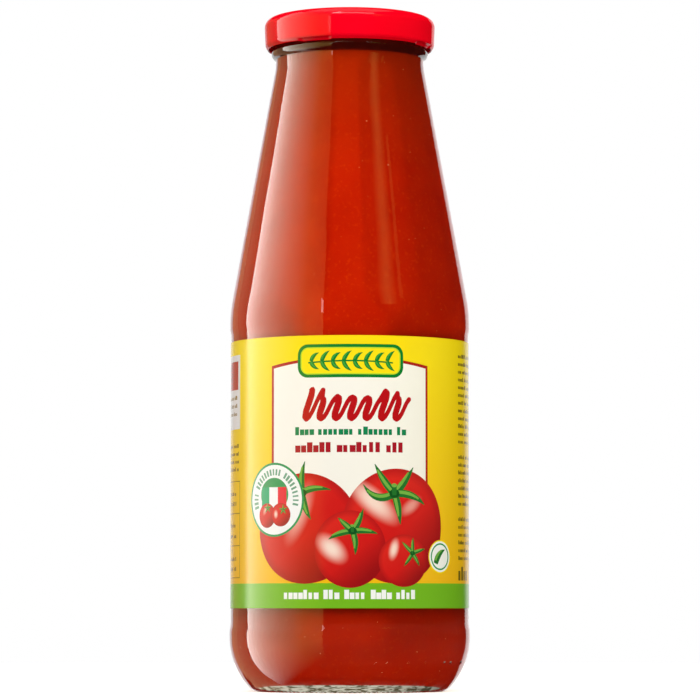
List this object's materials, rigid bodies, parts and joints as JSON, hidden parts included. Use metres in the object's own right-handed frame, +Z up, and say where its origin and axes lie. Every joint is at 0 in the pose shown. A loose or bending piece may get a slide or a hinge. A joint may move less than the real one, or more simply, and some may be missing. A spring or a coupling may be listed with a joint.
{
  "type": "passata bottle",
  "caption": "Tall shouldered glass bottle of tomato passata with a red twist-off metal lid and a wrap-around paper label.",
  "frame": {"origin": "centre of the ring that the bottle stands on", "axes": "+Z up along the bottle's axis, the label's front panel towards -Y"},
  "size_m": [0.0782, 0.0782, 0.2203],
  "materials": {
    "glass": "polished",
    "passata": "wet",
    "label": "semi-gloss",
    "lid": "gloss"
  },
  "bodies": {
    "root": {"glass": "glass", "passata": "passata", "label": "label", "lid": "lid"}
  },
  "joints": []
}
